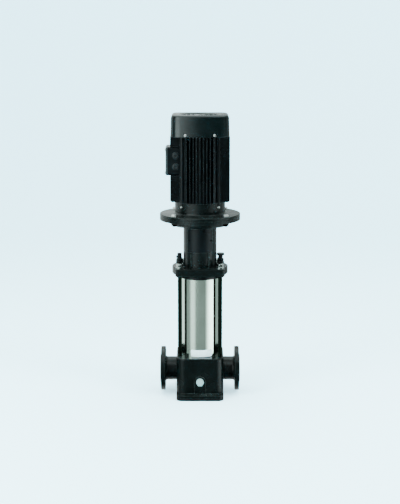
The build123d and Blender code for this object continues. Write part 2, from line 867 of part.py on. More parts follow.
for name, side in (("coupling_guard_front", -1), ("coupling_guard_back", 1)):
    with BuildPart() as coupling_guard:
        guard_patch(
            stool_radius,
            guard_inner,
            guard_half_width - guard_gap,
            window_bottom - guard_lap + guard_gap,
            window_top + guard_lap - guard_gap,
            side,
        )
        guard_screw_holes(guard_screw_length, sides=(side,))
    coupling_guard.part.label = name
    export_step(coupling_guard.part, f"parts/{name}.step")

with BuildPart() as guard_screws:
    for side in (-1, 1):
        for turn in (-screw_angle, screw_angle):
            angle = radians(side * 90 + turn)
            way = Vector(cos(angle), sin(angle), 0)
            spot = way * stool_radius + Vector(0, 0, guard_middle)
            with BuildSketch(Plane(origin=spot, z_dir=way)):
                Circle(guard_screw_diameter / 2)
            extrude(amount=-guard_screw_length)
            with BuildSketch(Plane(origin=spot, z_dir=way)):
                Circle(guard_screw_head / 2)
            extrude(amount=guard_thickness)
guard_screws.part.label = "guard_screws"
export_step(guard_screws.part, "parts/guard_screws.step")

# ---- split coupling and its screws
motor_shaft_radius = motor_shaft_diameter / 2
screw_places = [
    (x * coupling_screw_offset, z)
    for x in (-1, 1)
    for z in (coupling_bottom + coupling_screw_inset, coupling_top - coupling_screw_inset)
]
for name, side in (("coupling_half_front", -1), ("coupling_half_back", 1)):
    with BuildPart() as coupling_half:
        disc(coupling_bottom, coupling_top, coupling_diameter / 2)
        disc(coupling_bottom, motor_shaft_end, shaft_radius, mode=Mode.SUBTRACT)
        disc(motor_shaft_end - coupling_gap, coupling_top, motor_shaft_radius, mode=Mode.SUBTRACT)
        with BuildSketch(Plane.XZ):
            with Locations(*screw_places):
                Circle(coupling_screw_diameter / 2)
        extrude(amount=coupling_diameter, both=True, mode=Mode.SUBTRACT)
        with BuildSketch(Plane.XZ.offset(coupling_seat)):
            with Locations(*screw_places):
                Circle(coupling_head_diameter / 2 + coupling_head_clearance)
        extrude(amount=coupling_diameter, mode=Mode.SUBTRACT)
        split(
            bisect_by=Plane(origin=(0, side * coupling_gap / 2, 0), z_dir=(0, side, 0)),
            keep=Keep.TOP,
        )
    coupling_half.part.label = name
    export_step(coupling_half.part, f"parts/{name}.step")

with BuildPart() as coupling_screws:
    with BuildSketch(Plane.XZ.offset(coupling_seat)):
        with Locations(*screw_places):
            Circle(coupling_head_diameter / 2)
    extrude(amount=coupling_head_height)
    with BuildSketch(Plane.XZ.offset(coupling_seat)):
        with Locations(*screw_places):
            Circle(coupling_screw_diameter / 2)
    extrude(amount=-2 * coupling_seat)
coupling_screws.part.label = "coupling_screws"
export_step(coupling_screws.part, "parts/coupling_screws.step")

# ---- motor: drive-end shield with its flange, bolts and nuts
lug_places = [
    (housing_radius * cos(radians(a)), housing_radius * sin(radians(a)))
    for a in bolt_angles
]
journal_hole = bearing_journal_diameter / 2 + shaft_hole_clearance
with BuildPart() as drive_end_shield:
    disc(motor_face, motor_flange_top, flange_radius)
    disc(motor_flange_top, housing_bottom, housing_radius + shield_neck_step)
    neck_root = (
        drive_end_shield.edges()
        .filter_by(GeomType.CIRCLE)
        .filter_by(lambda edge: abs(edge.center().Z - motor_flange_top) < seam_chamfer)
        .sort_by(SortBy.RADIUS)[0]
    )
    fillet(neck_root, shield_root_radius)
    rims = drive_end_shield.edges().filter_by(GeomType.CIRCLE).sort_by(SortBy.RADIUS)[-2:]
    chamfer(rims, flange_rim_chamfer)
    disc(housing_bottom - shield_lug_height, housing_bottom, lug_diameter / 2, places=lug_places)
    disc(motor_face - motor_spigot_height, motor_face, spigot_radius - motor_spigot_fit)
    disc(motor_face - motor_spigot_height, housing_bottom, journal_hole, mode=Mode.SUBTRACT)
    disc(drive_bearing_bottom, housing_bottom, drive_bearing_diameter / 2, mode=Mode.SUBTRACT)
    disc(drive_bearing_top, housing_bottom, housing_bore, mode=Mode.SUBTRACT)
    disc(
        motor_face,
        motor_flange_top,
        motor_bolt_hole / 2,
        places=motor_bolt_places,
        mode=Mode.SUBTRACT,
    )
drive_end_shield.part.label = "drive_end_shield"
export_step(drive_end_shield.part, "parts/drive_end_shield.step")

# each set is a bolt down through both flanges and the nut under them
nut_bottom = stool_flange_bottom - motor_nut_height
with BuildPart() as flange_bolts:
    hexagon(
        motor_flange_top,
        motor_flange_top + motor_bolt_head,
        motor_bolt_across_flats,
        places=motor_bolt_places,
    )
    disc(
        nut_bottom - motor_bolt_stub,
        motor_flange_top,
        motor_bolt_diameter / 2,
        places=motor_bolt_places,
    )
with BuildPart() as flange_nuts:
    hexagon(
        nut_bottom,
        stool_flange_bottom,
        motor_bolt_across_flats,
        motor_bolt_diameter / 2,
        places=motor_bolt_places,
    )
flange_bolt_sets = Compound(children=flange_bolts.solids() + flange_nuts.solids())
flange_bolt_sets.label = "flange_bolt_sets"
export_step(flange_bolt_sets, "parts/flange_bolt_sets.step")

# ---- motor: finned stator housing
fin_low = housing_bottom + fin_end_gap
fin_high = housing_top - fin_end_gap
fin_root_radius = (housing_radius + housing_bore) / 2
with BuildPart() as fin_group:
    for number in range(fin_count):
        across = (number - (fin_count - 1) / 2) * fin_pitch
        root = sqrt(fin_root_radius**2 - across**2)
        with BuildSketch(Plane.YZ.offset(across)):
            with Locations((-(root + fin_reach) / 2, (fin_low + fin_high) / 2)):
                fin = Rectangle(fin_reach - root, fin_high - fin_low)
            fillet(fin.vertices().sort_by(Axis.Y)[:2], fin_corner)
        extrude(amount=fin_thickness / 2, both=True)

with BuildPart() as stator_housing:
    disc(housing_bottom, housing_top, housing_radius)
    disc(housing_bottom, housing_top, lug_diameter / 2, places=lug_places)
    with PolarLocations(0, 4):
        add(fin_group.part)
    disc(housing_bottom, housing_top, housing_bore, mode=Mode.SUBTRACT)
    with BuildSketch(Plane.XY.offset(box_bottom - box_pocket_gap)):
        with Locations((-(box_root + fin_reach) / 2, 0)):
            Rectangle(fin_reach + lid_thickness - box_root, box_width + box_pocket_gap)
        Circle(housing_radius, mode=Mode.SUBTRACT)
    extrude(amount=box_height + 2 * box_pocket_gap, mode=Mode.SUBTRACT)
stator_housing.part.label = "stator_housing"
export_step(stator_housing.part, "parts/stator_housing.step")

# ---- motor: stator, rotor, shaft and bearings
with BuildPart() as stator_core:
    disc(stator_bottom, stator_top, housing_bore, stator_inner_diameter / 2)
stator_core.part.label = "stator_core"
export_step(stator_core.part, "parts/stator_core.step")

winding_outer = housing_bore - winding_gap
winding_inner = winding_outer - winding_depth
with BuildPart() as stator_windings:
    for low in (stator_bottom - winding_height, stator_top):
        disc(low, low + winding_height, winding_outer, winding_inner)
    chamfer(stator_windings.edges().filter_by(GeomType.CIRCLE), winding_chamfer)
stator_windings.part.label = "stator_windings"
export_step(stator_windings.part, "parts/stator_windings.step")

with BuildPart() as rotor_core:
    disc(
        stator_bottom,
        stator_top,
        stator_inner_diameter / 2 - air_gap,
        core_journal_diameter / 2,
    )
rotor_core.part.label = "rotor_core"
export_step(rotor_core.part, "parts/rotor_core.step")

journal_radius = bearing_journal_diameter / 2
shaft_steps = [
    (motor_shaft_end, drive_bearing_bottom, motor_shaft_radius),
    (drive_bearing_bottom, drive_bearing_top, journal_radius),
    (drive_bearing_top, housing_top, core_journal_diameter / 2),
    (housing_top, rear_hub_top, journal_radius),
    (rear_hub_top, fan_top, fan_journal_diameter / 2),
]
with BuildPart() as motor_shaft:
    for low, high, radius in shaft_steps:
        disc(low, high, radius)
motor_shaft.part.label = "motor_shaft"
export_step(motor_shaft.part, "parts/motor_shaft.step")

bearings = [
    (drive_bearing_bottom, drive_bearing_width, drive_bearing_diameter / 2),
    (housing_top, rear_bearing_width, rear_bearing_diameter / 2),
]
with BuildPart() as bearing_outer_rings:
    for low, width, outer in bearings:
        disc(low, low + width, outer, outer - outer_ring_thickness)
bearing_outer_rings.part.label = "bearing_outer_rings"
export_step(bearing_outer_rings.part, "parts/bearing_outer_rings.step")

with BuildPart() as bearing_inner_rings:
    for low, width, outer in bearings:
        disc(low, low + width, journal_radius + inner_ring_thickness, journal_radius)
bearing_inner_rings.part.label = "bearing_inner_rings"
export_step(bearing_inner_rings.part, "parts/bearing_inner_rings.step")

with BuildPart() as bearing_balls:
    for low, width, outer in bearings:
        race_inner = journal_radius + inner_ring_thickness
        race_outer = outer - outer_ring_thickness
        with Locations((0, 0, low + width / 2)):
            with PolarLocations((race_inner + race_outer) / 2, ball_count):
                Sphere((race_outer - race_inner) / 2 - ball_clearance)
bearing_balls.part.label = "bearing_balls"
export_step(bearing_balls.part, "parts/bearing_balls.step")

# ---- motor: rear shield with the arms that carry the fan cover
cover_inside = fan_cover_width / 2 - fan_cover_wall
arm_reach = cover_inside - cover_arm_gap - cover_arm_height * sin(radians(fan_cover_taper))
screw_level = housing_top + cover_arm_height / 2
with BuildPart() as rear_end_shield:
    disc(housing_top, housing_top + rear_shield_thickness, housing_radius)
    disc(housing_top, rear_hub_top, rear_bearing_diameter / 2 + rear_hub_wall)
    with BuildSketch(Plane.XY.offset(housing_top)):
        for across in (-cover_arm_offset, cover_arm_offset):
            with Locations((across, 0)):
                Rectangle(cover_arm_width, 2 * arm_reach)
        Circle(rear_bearing_diameter / 2 + rear_hub_wall, mode=Mode.SUBTRACT)
    extrude(amount=cover_arm_height)
    disc(housing_top, rear_bearing_top, rear_bearing_diameter / 2, mode=Mode.SUBTRACT)
    disc(rear_bearing_top, rear_hub_top, journal_hole, mode=Mode.SUBTRACT)
    for side in (-1, 1):
        with BuildSketch(Plane.XZ.offset(side * arm_reach)):
            with Locations((-cover_arm_offset, screw_level), (cover_arm_offset, screw_level)):
                Circle(cover_screw_diameter / 2)
        extrude(amount=-side * cover_screw_length, mode=Mode.SUBTRACT)
rear_end_shield.part.label = "rear_end_shield"
export_step(rear_end_shield.part, "parts/rear_end_shield.step")

# ---- fan, fan cover with its inlet grille, cover screws
fan_radius = cover_inside - fan_side_gap
dish_radius = fan_cover_width / 2 - dish_margin
dish_floor_radius = dish_radius - dish_slope
grille_ring_pitch = (dish_floor_radius - grille_hub_diameter / 2) / grille_ring_count
with BuildPart() as fan:
    hub_radius = fan_journal_diameter / 2 + fan_hub_wall
    disc(fan_bottom, fan_bottom + fan_plate_thickness, fan_radius)
    disc(fan_bottom, fan_top, hub_radius)
    with BuildSketch(Plane.XY.offset(fan_bottom)):
        with PolarLocations((fan_radius + hub_radius) / 2 - fan_hub_wall / 4, fan_blade_count):
            Rectangle(fan_radius - hub_radius + fan_hub_wall / 2, fan_blade_thickness)
    extrude(amount=fan_top - fan_bottom)
    disc(fan_bottom, fan_top, fan_journal_diameter / 2, mode=Mode.SUBTRACT)
fan.part.label = "fan"
export_step(fan.part, "parts/fan.step")

with BuildPart() as fan_cover:
    with BuildSketch(Plane.XY.offset(housing_top)):
        RectangleRounded(fan_cover_width, fan_cover_width, fan_cover_corner)
    extrude(amount=fan_cover_height, taper=fan_cover_taper)
    fillet(fan_cover.faces().sort_by(Axis.Z)[-1].edges(), fan_cover_edge)
    with BuildSketch(Plane.XY.offset(total_height)):
        Circle(dish_radius)
    with BuildSketch(Plane.XY.offset(total_height - dish_depth)):
        Circle(dish_floor_radius)
    loft(mode=Mode.SUBTRACT)
    offset(amount=-fan_cover_wall, openings=fan_cover.faces().sort_by(Axis.Z)[0])
    with BuildSketch(Plane.XY.offset(total_height)):
        for number in reversed(range(grille_ring_count)):
            slot_inner = grille_hub_diameter / 2 + number * grille_ring_pitch
            Circle(slot_inner + grille_ring_pitch - grille_bar)
            Circle(slot_inner, mode=Mode.SUBTRACT)
        with PolarLocations(dish_floor_radius / 2, grille_spoke_count):
            Rectangle(dish_floor_radius, grille_spoke_width, mode=Mode.SUBTRACT)
    extrude(amount=-fan_cover_edge, mode=Mode.SUBTRACT)
    with BuildSketch(Plane.XZ):
        with Locations((-cover_arm_offset, screw_level), (cover_arm_offset, screw_level)):
            Circle(cover_screw_diameter / 2)
    extrude(amount=fan_cover_width, both=True, mode=Mode.SUBTRACT)
fan_cover.part.label = "fan_cover"
export_step(fan_cover.part, "parts/fan_cover.step")

head_edge_level = screw_level - cover_screw_head / 2 - housing_top
screw_seat = fan_cover_width / 2 - head_edge_level * sin(radians(fan_cover_taper))
with BuildPart() as fan_cover_screws:
    for side in (-1, 1):
        with BuildSketch(Plane.XZ.offset(side * screw_seat)):
            with Locations((-cover_arm_offset, screw_level), (cover_arm_offset, screw_level)):
                Circle(cover_screw_head / 2)
        extrude(amount=side * cover_screw_head_height)
        with BuildSketch(Plane.XZ.offset(side * screw_seat)):
            with Locations((-cover_arm_offset, screw_level), (cover_arm_offset, screw_level)):
                Circle(cover_screw_diameter / 2)
        extrude(amount=-side * cover_screw_length)
fan_cover_screws.part.label = "fan_cover_screws"
export_step(fan_cover_screws.part, "parts/fan_cover_screws.step")

# ---- terminal box: saddle-backed body, lid and blanking plugs in both cable entries
saddle_radius = housing_radius + box_clearance
entry_levels = [(box_bottom + box_top + z * entry_spacing) / 2 for z in (-1, 1)]
entry_places = [(-box_reach + entry_inset, level) for level in entry_levels]
entry_face = box_width / 2 + entry_boss_height
with BuildPart() as terminal_box:
    with BuildSketch(Plane.YZ.offset(-box_root)):
        with Locations((0, (box_bottom + box_top) / 2)):
            RectangleRounded(box_width, box_height, box_corner)
    extrude(amount=box_root - box_reach)
    with BuildSketch(Plane.XY.offset(box_bottom + box_wall)):
        with Locations((-(box_root + box_reach) / 2, 0)):
            Rectangle(box_reach - box_root, box_width - 2 * box_wall)
        Circle(saddle_radius + box_wall, mode=Mode.SUBTRACT)
    extrude(amount=box_height - 2 * box_wall, mode=Mode.SUBTRACT)
    disc(box_bottom, box_top, saddle_radius, mode=Mode.SUBTRACT)
    with BuildSketch(Plane.XZ.offset(box_width / 2)):
        with Locations(*entry_places):
            Circle(entry_boss_diameter / 2)
    extrude(amount=entry_boss_height)
    with BuildSketch(Plane.XZ.offset(entry_face)):
        with Locations(*entry_places):
            Circle(entry_diameter / 2)
    extrude(amount=-box_wall - entry_boss_height, mode=Mode.SUBTRACT)
terminal_box.part.label = "terminal_box"
export_step(terminal_box.part, "parts/terminal_box.step")

with BuildPart() as terminal_box_lid:
    with BuildSketch(Plane.YZ.offset(-box_reach)):
        with Locations((0, (box_bottom + box_top) / 2)):
            RectangleRounded(box_width, box_height, box_corner)
    extrude(amount=-lid_thickness)
    fillet(terminal_box_lid.faces().sort_by(Axis.X)[0].edges(), lid_thickness / 2)
terminal_box_lid.part.label = "terminal_box_lid"
export_step(terminal_box_lid.part, "parts/terminal_box_lid.step")

with BuildPart() as entry_plugs:
    with BuildSketch(Plane.XZ.offset(entry_face)):
        with Locations(*entry_places):
            Circle(entry_plug_diameter / 2)
    extrude(amount=entry_plug_height)
    with BuildSketch(Plane.XZ.offset(entry_face)):
        with Locations(*entry_places):
            Circle(entry_diameter / 2 - plug_clearance)
    extrude(amount=-box_wall)
entry_plugs.part.label = "entry_plugs"
export_step(entry_plugs.part, "parts/entry_plugs.step")
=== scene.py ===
import bmesh
import bpy
from math import asin, cos, pi, radians, sin
from mathutils import Matrix, Vector


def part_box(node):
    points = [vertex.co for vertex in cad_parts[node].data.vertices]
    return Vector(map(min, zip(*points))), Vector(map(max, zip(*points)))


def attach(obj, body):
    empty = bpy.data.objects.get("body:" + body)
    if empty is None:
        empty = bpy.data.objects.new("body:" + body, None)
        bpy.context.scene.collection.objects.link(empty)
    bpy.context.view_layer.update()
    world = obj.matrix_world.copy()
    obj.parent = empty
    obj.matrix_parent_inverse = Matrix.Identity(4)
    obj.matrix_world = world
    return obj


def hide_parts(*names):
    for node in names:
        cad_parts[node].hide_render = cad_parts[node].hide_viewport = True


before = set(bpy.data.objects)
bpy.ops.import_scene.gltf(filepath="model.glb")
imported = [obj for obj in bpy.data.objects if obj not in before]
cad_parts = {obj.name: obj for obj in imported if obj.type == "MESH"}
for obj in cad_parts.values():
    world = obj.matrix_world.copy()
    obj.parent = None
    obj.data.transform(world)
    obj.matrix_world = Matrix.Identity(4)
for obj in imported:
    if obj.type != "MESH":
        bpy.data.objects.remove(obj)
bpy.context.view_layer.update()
MM = 0.001
FRAME_BODY = "pump_frame"

# ---- camera: standing height, looking a little down at the pump
camera_distance = 4.022
camera_height = 1.319
camera_tilt = 7.288
camera_lens = 77.8
camera_sensor = 36
camera_shift = -0.14

# ---- studio: a paper sweep and soft lights
paper_colour = (0.60, 0.88, 0.96, 1.0)
paper_glow = 1.15
paper_roughness = 0.9
paper_specular = 0.1
bowl_radius = 5.6
bowl_height = 5.0
bowl_curve = 2.2
bowl_arc_steps = 12
bowl_turn_steps = 96
merge_distance = 1e-5
pump_middle = (0, 0, 0.55)
base_middle = (0, 0, 0.2)
# name, place, what it is aimed at, width, height, watts
LIGHTS = (
    ("left_box", (-2.1, -1.6, 1.9), pump_middle, 1.3, 2.4, 160.0),
    ("right_box", (2.2, -1.3, 1.8), pump_middle, 0.9, 2.4, 125.0),
    ("top_box", (0, 0.2, 3.6), pump_middle, 3.0, 3.0, 150.0),
    ("low_box", (-3.4, -0.8, 0.9), base_middle, 0.4, 0.7, 22.0),
)

# ---- world, which only mirrors see. A turn is in degrees to the right of the camera, a rise is the
# height of a direction of length one, and a band is from, to, and the softness of its two ends.
world_tint = (0.80, 0.93, 0.92, 1)
table_rise = (-0.30, -0.195, 0.012, 0.012)
# turn, glow at the table's level, share of that glow above and below it
WORLD_BANDS = (
    ((-190, -97, 1, 4), 2.0, 0.8),
    ((-92, 34, 4, 14), 0.60, 0.05),
    ((-57, -29, 8, 8), 2.1, 0.05),
    ((47, 92, 20, 4), 9.0, 0.03),
    ((98, 190, 3, 1), 0.55, 1.5),
)
softbox_turn = (-64, -15, 8, 15)
softbox_rise = (-0.12, 0.62, 0.03, 0.05)
softbox_glow = 7.0
ceiling_rise = (0.62, 0.80)
ceiling_glow = 3.0

# ---- coats: name, deep and pale colour, worn edge colour (wear, and a painted highlight along the edges), roughness, bump, grain scale, specular level
# the castings' worn edge colour is far paler than their coat: it paints the thin highlight lines
# that glossy edges catch from the light above
CAST_COAT = ((0.0007, 0.0015, 0.0013, 1), (0.0016, 0.0028, 0.0025, 1), (0.09, 0.11, 0.10, 1),
             0.24, 0.05, 600.0, 0.20)
COATS = {
    "cast": ("cast_iron_black", *CAST_COAT),
    "ports": ("cast_iron_ports", *CAST_COAT),
    "motor": ("motor_black", (0.0007, 0.0013, 0.0015, 1), (0.0014, 0.0022, 0.0025, 1),
              (0.035, 0.045, 0.045, 1), 0.28, 0.08, 900.0, 0.16),
    "cover": ("cover_grey", (0.0009, 0.0022, 0.0022, 1), (0.0016, 0.0032, 0.0032, 1),
              (0.04, 0.058, 0.055, 1), 0.20, 0.03, 1400.0, 0.40),
    # the lid's coat is several times paler than the other black coats: a painted sheen, for the
    # light that the real lid's deeper rounded front catches
    "lid": ("lid_black_painted_sheen", (0.0060, 0.0100, 0.0100, 1), (0.0100, 0.0150, 0.0150, 1),
            (0.070, 0.090, 0.088, 1), 0.30, 0.08, 900.0, 0.5),
    "rubber": ("seal_rubber", (0.008, 0.008, 0.008, 1), (0.014, 0.014, 0.014, 1),
               (0.02, 0.02, 0.02, 1), 0.6, 0.1, 600.0, 0.3),
    "plastic": ("black_plastic", (0.003, 0.004, 0.004, 1), (0.005, 0.006, 0.006, 1),
                (0.03, 0.03, 0.03, 1), 0.45, 0.08, 1800.0, 0.3),
}
# ---- metals: name, tint, roughness, bump of the marks, how finely the marks lie along X, Y and Z
METALS = {
    "plated": ("plated_nut_steel", (0.55, 0.62, 0.60, 1), 0.18, 0.06, (300, 300, 300)),
    "sleeve": ("polished_sleeve", (0.66, 0.82, 0.71, 1), 0.11, 0.05, (25, 25, 900)),
    "bright": ("bright_steel", (0.93, 0.98, 0.96, 1), 0.30, 0.10, (300, 300, 300)),
    "rod": ("black_oxide", (0.006, 0.012, 0.008, 1), 0.16, 0.03, (300, 300, 300)),
    "zinc": ("zinc_plate", (0.31, 0.42, 0.39, 1), 0.30, 0.10, (300, 300, 300), 0.45),
    "pressed": ("pressed_stainless", (0.52, 0.54, 0.53, 1), 0.32, 0.10, (200, 200, 200)),
    "lamination": ("lamination_steel", (0.22, 0.22, 0.23, 1), 0.45, 0.6, (20, 20, 2000)),
    "winding": ("copper_winding", (0.55, 0.22, 0.10, 1), 0.40, 0.5, (900, 900, 200)),
    "carbide": ("seal_carbide", (0.08, 0.08, 0.09, 1), 0.18, 0.02, (100, 100, 100)),
}
# ---- shared finish details
coat_roughness_spread = (-0.05, 0.06)
coat_bump_distance = 0.0006
wear_and_highlight_width = 0.0015
wear_and_highlight_samples = 4
wear_and_highlight_share = 0.6
wear_and_highlight_scale = 60.0
wear_and_highlight_limits = (0.02, 0.16)
dust_share = 0.14
dust_scale = 25.0
dust_slope = (0.75, 1.0)
dust_limits = (0.35, 0.75)
dust_colour = (0.06, 0.08, 0.075, 1)
grain_scale = 600.0
swell_scale = 45.0
swell_share = 1.5
drift_scale = 9.0
drift_limits = (0.3, 0.7)
metal_dull_share = 0.82
metal_cloud_scale = 12.0
metal_roughness_spread = 0.18
fine_bump_distance = 0.0002
cover_bow_radius = 0.5
gasket_face_depths = (0.5 * MM, 0.3 * MM)
gasket_face_colour = (0.16, 0.17, 0.165, 1)
label_tints = ((0.92, 0.95, 0.95, 1), (0.96, 0.98, 0.98, 1))
label_cloud_scale = 40.0
label_fibre_scale = 900.0
label_fibre_bump = 0.03
label_roughness = (0.35, 0.50)

# ---- fasteners and dressings
sharp_edge_angle = radians(35)
ring_points = 24
thread_pitch = 2.0 * MM
thread_depth = 0.55 * MM
nut_chamfer = 1.4 * MM
nut_face_share = 0.475
thread_rows_per_turn = 6
thread_rows_least = 4
head_dome_share = 0.3
head_shoulder_share = 0.88
head_rim_share = 0.66
socket_floor_share = 0.94
washer_edge = (0.8, 0.96)
collar_edge = (0.7, 0.96)
entry_socket_share = 0.42
label_centre = radians(5)
label_half_turn = radians(32)
label_gap = 1.5 * MM
label_height = 26.0 * MM
label_corner = 3.0 * MM
label_thickness = 0.15 * MM
label_columns = 40
lid_screw_inset = 10.0 * MM
lid_screw_radius = 4.5 * MM
lid_screw_height = 2.6 * MM
lug_screw_radius = 5.5 * MM
lug_screw_height = 6.0 * MM
lug_screw_reach = 96.0 * MM
lug_height = 12.0 * MM
staybolt_radius = 8.0 * MM
staybolt_nut_half = 12.0 * MM
washer_radius = 15.0 * MM
washer_thickness = 3.0 * MM
rod_thread_show = 9.0 * MM
flange_nut_half = 9.5 * MM
flange_head_height = 7.5 * MM
flange_nut_height = 10.0 * MM
flange_bolt_radius = 6.0 * MM
stool_flange_thickness = 12.0 * MM
drain_head_half = 12.5 * MM
drain_head_height = 9.0 * MM
drain_collar_height = 2.0 * MM
drain_collar_radius = 14.0 * MM
drain_shank_radius = 10.3 * MM
cover_screw_radius = 5.0 * MM
cover_screw_height = 3.0 * MM
guard_screw_radius = 3.25 * MM
guard_screw_height = 1.6 * MM
guard_screw_inset = 4.7 * MM
entry_head_height = 4.0 * MM
gasket_proud = 0.4 * MM
gasket_width = 3 * gasket_proud
gasket_half = 0.5 * MM
lid_corner = 8.0 * MM
corner_points = 6


def new_object(name, data):
    """Put a mesh, camera or light in the scene as an object."""
    piece = bpy.data.objects.new(name, data)
    bpy.context.scene.collection.objects.link(piece)
    return piece


def finish_piece(name, mesh, material, body=FRAME_BODY, replaced=()):
    """Turn a bmesh into a named piece that rides on a body and wears a material."""
    bmesh.ops.recalc_face_normals(mesh, faces=mesh.faces)
    data = bpy.data.meshes.new(name)
    mesh.to_mesh(data)
    mesh.free()
    data.shade_smooth()
    data.set_sharp_from_angle(angle=sharp_edge_angle)
    data.materials.append(materials[material])
    piece = new_object(name, data)
    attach(piece, body)
    if replaced:
        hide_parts(*replaced)


def make_camera():
    """The camera of the main view."""
    camera = bpy.data.cameras.new("camera")
    camera.lens = camera_lens
    camera.sensor_width = camera_sensor
    camera.shift_y = camera_shift
    viewpoint = new_object("camera", camera)
    viewpoint.location = (0, -camera_distance, camera_height)
    viewpoint.rotation_euler = (radians(90 - camera_tilt), 0, 0)
    bpy.context.scene.camera = viewpoint


# ---------------------------------------------------------------- node helpers
def new_material(name):
    """A material, its node tree and its Principled shader."""
    material = bpy.data.materials.new(name)
    material.use_nodes = True
    tree = material.node_tree
    return material, tree, tree.nodes["Principled BSDF"]


def new_group(name, inputs, outputs):
    """An empty node group with named sockets."""
    group = bpy.data.node_groups.new(name, "ShaderNodeTree")
    for label, kind, value in inputs:
        socket = group.interface.new_socket(name=label, in_out="INPUT", socket_type=kind)
        if value is not None:
            socket.default_value = value
    for label, kind in outputs:
        group.interface.new_socket(name=label, in_out="OUTPUT", socket_type=kind)
    start = group.nodes.new("NodeGroupInput")
    end = group.nodes.new("NodeGroupOutput")
    return group, start, end


def add_noise(group, source, scale, detail=4.0, roughness=0.6):
    """Noise in object space, which is the row's own frame."""
    noise = group.nodes.new("ShaderNodeTexNoise")
    noise.inputs["Scale"].default_value = scale
    noise.inputs["Detail"].default_value = detail
    noise.inputs["Roughness"].default_value = roughness
    group.links.new(source, noise.inputs["Vector"])
    return noise


def add_ramp(group, source, low, high):
    """A soft step from 0 to 1 between two values."""
    ramp = group.nodes.new("ShaderNodeMapRange")
    ramp.interpolation_type = "SMOOTHSTEP"
    ramp.inputs["From Min"].default_value = low
    ramp.inputs["From Max"].default_value = high
    group.links.new(source, ramp.inputs["Value"])
    return ramp.outputs["Result"]


def add_math(group, operation, first, second):
    """A math node; either side may be a socket or a number."""
    node = group.nodes.new("ShaderNodeMath")
    node.operation = operation
    for index, value in enumerate((first, second)):
        if isinstance(value, (int, float)):
            node.inputs[index].default_value = value
        else:
            group.links.new(value, node.inputs[index])
    return node.outputs[0]


def add_mix(group, factor, first, second):
    """A colour mix between two colours or sockets."""
    mix = group.nodes.new("ShaderNodeMix")
    mix.data_type = "RGBA"
    group.links.new(factor, mix.inputs[0])
    for index, value in ((6, first), (7, second)):
        if isinstance(value, tuple):
            mix.inputs[index].default_value = value
        else:
            group.links.new(value, mix.inputs[index])
    return mix.outputs[2]


def object_position(group):
    """The point's place in the row's frame, in metres."""
    return group.nodes.new("ShaderNodeTexCoord").outputs["Object"]


def make_edge_group():
    """Edge wear and painted edge highlight: how sharply the surface turns, broken up with noise,
    and the softened normal.
    """
    group, start, end = new_group(
        "edge_wear_and_highlight",
        [("Width", "NodeSocketFloat", wear_and_highlight_width)],
        [("Mask", "NodeSocketFloat"), ("Normal", "NodeSocketVector")],
    )
    bevel = group.nodes.new("ShaderNodeBevel")
    bevel.samples = wear_and_highlight_samples
    group.links.new(start.outputs["Width"], bevel.inputs["Radius"])
    geometry = group.nodes.new("ShaderNodeNewGeometry")
    dot = group.nodes.new("ShaderNodeVectorMath")
    dot.operation = "DOT_PRODUCT"
    group.links.new(bevel.outputs["Normal"], dot.inputs[0])
    group.links.new(geometry.outputs["Normal"], dot.inputs[1])
    turn = add_math(group, "SUBTRACT", 1.0, dot.outputs["Value"])
    noise = add_noise(group, object_position(group), wear_and_highlight_scale)
    broken = add_math(group, "MULTIPLY", turn, noise.outputs["Fac"])
    group.links.new(add_ramp(group, broken, *wear_and_highlight_limits), end.inputs["Mask"])
    group.links.new(bevel.outputs["Normal"], end.inputs["Normal"])
    return group


def make_cast_group():
    """Sand-cast skin under paint: grain and low swells as one height, and slow colour drift."""
    group, start, end = new_group(
        "cast_grain",
        [("Grain", "NodeSocketFloat", grain_scale)],
        [("Height", "NodeSocketFloat"), ("Drift", "NodeSocketFloat")],
    )
    place = object_position(group)
    fine = add_noise(group, place, grain_scale, detail=3.0)
    group.links.new(start.outputs["Grain"], fine.inputs["Scale"])
    swell = add_noise(group, place, swell_scale, detail=2.0)
    drift = add_noise(group, place, drift_scale, detail=3.0)
    tall = add_math(group, "MULTIPLY", swell.outputs["Fac"], swell_share)
    height = add_math(group, "ADD", fine.outputs["Fac"], tall)
    group.links.new(height, end.inputs["Height"])
    group.links.new(add_ramp(group, drift.outputs["Fac"], *drift_limits), end.inputs["Drift"])
    return group


def make_dust_group():
    """Fine dust on faces that look up."""
    group, _, end = new_group("settled_dust", [], [("Mask", "NodeSocketFloat")])
    geometry = group.nodes.new("ShaderNodeNewGeometry")
    split = group.nodes.new("ShaderNodeSeparateXYZ")
    group.links.new(geometry.outputs["Normal"], split.inputs[0])
    noise = add_noise(group, object_position(group), dust_scale)
    upward = add_ramp(group, split.outputs["Z"], *dust_slope)
    spread = add_ramp(group, noise.outputs["Fac"], *dust_limits)
    group.links.new(add_math(group, "MULTIPLY", upward, spread), end.inputs["Mask"])
    return group


def use_group(material, group):
    """Place a shared group in a material."""
    node = material.node_tree.nodes.new("ShaderNodeGroup")
    node.node_tree = group
    return node


def link_bump(material, height, strength, distance, normal=None):
    """Bump from a height output to the shader's normal, over a softened normal if one is given."""
    tree = material.node_tree
    bump = tree.nodes.new("ShaderNodeBump")
    bump.inputs["Strength"].default_value = strength
    bump.inputs["Distance"].default_value = distance
    tree.links.new(height, bump.inputs["Height"])
    if normal:
        tree.links.new(normal, bump.inputs["Normal"])
    tree.links.new(bump.outputs["Normal"], tree.nodes["Principled BSDF"].inputs["Normal"])


def rough_between(material, factor, low, high):
    """Drive roughness between two values."""
    tree = material.node_tree
    span = tree.nodes.new("ShaderNodeMapRange")
    span.inputs["To Min"].default_value = low
    span.inputs["To Max"].default_value = high
    tree.links.new(factor, span.inputs["Value"])
    tree.links.new(span.outputs["Result"], tree.nodes["Principled BSDF"].inputs["Roughness"])


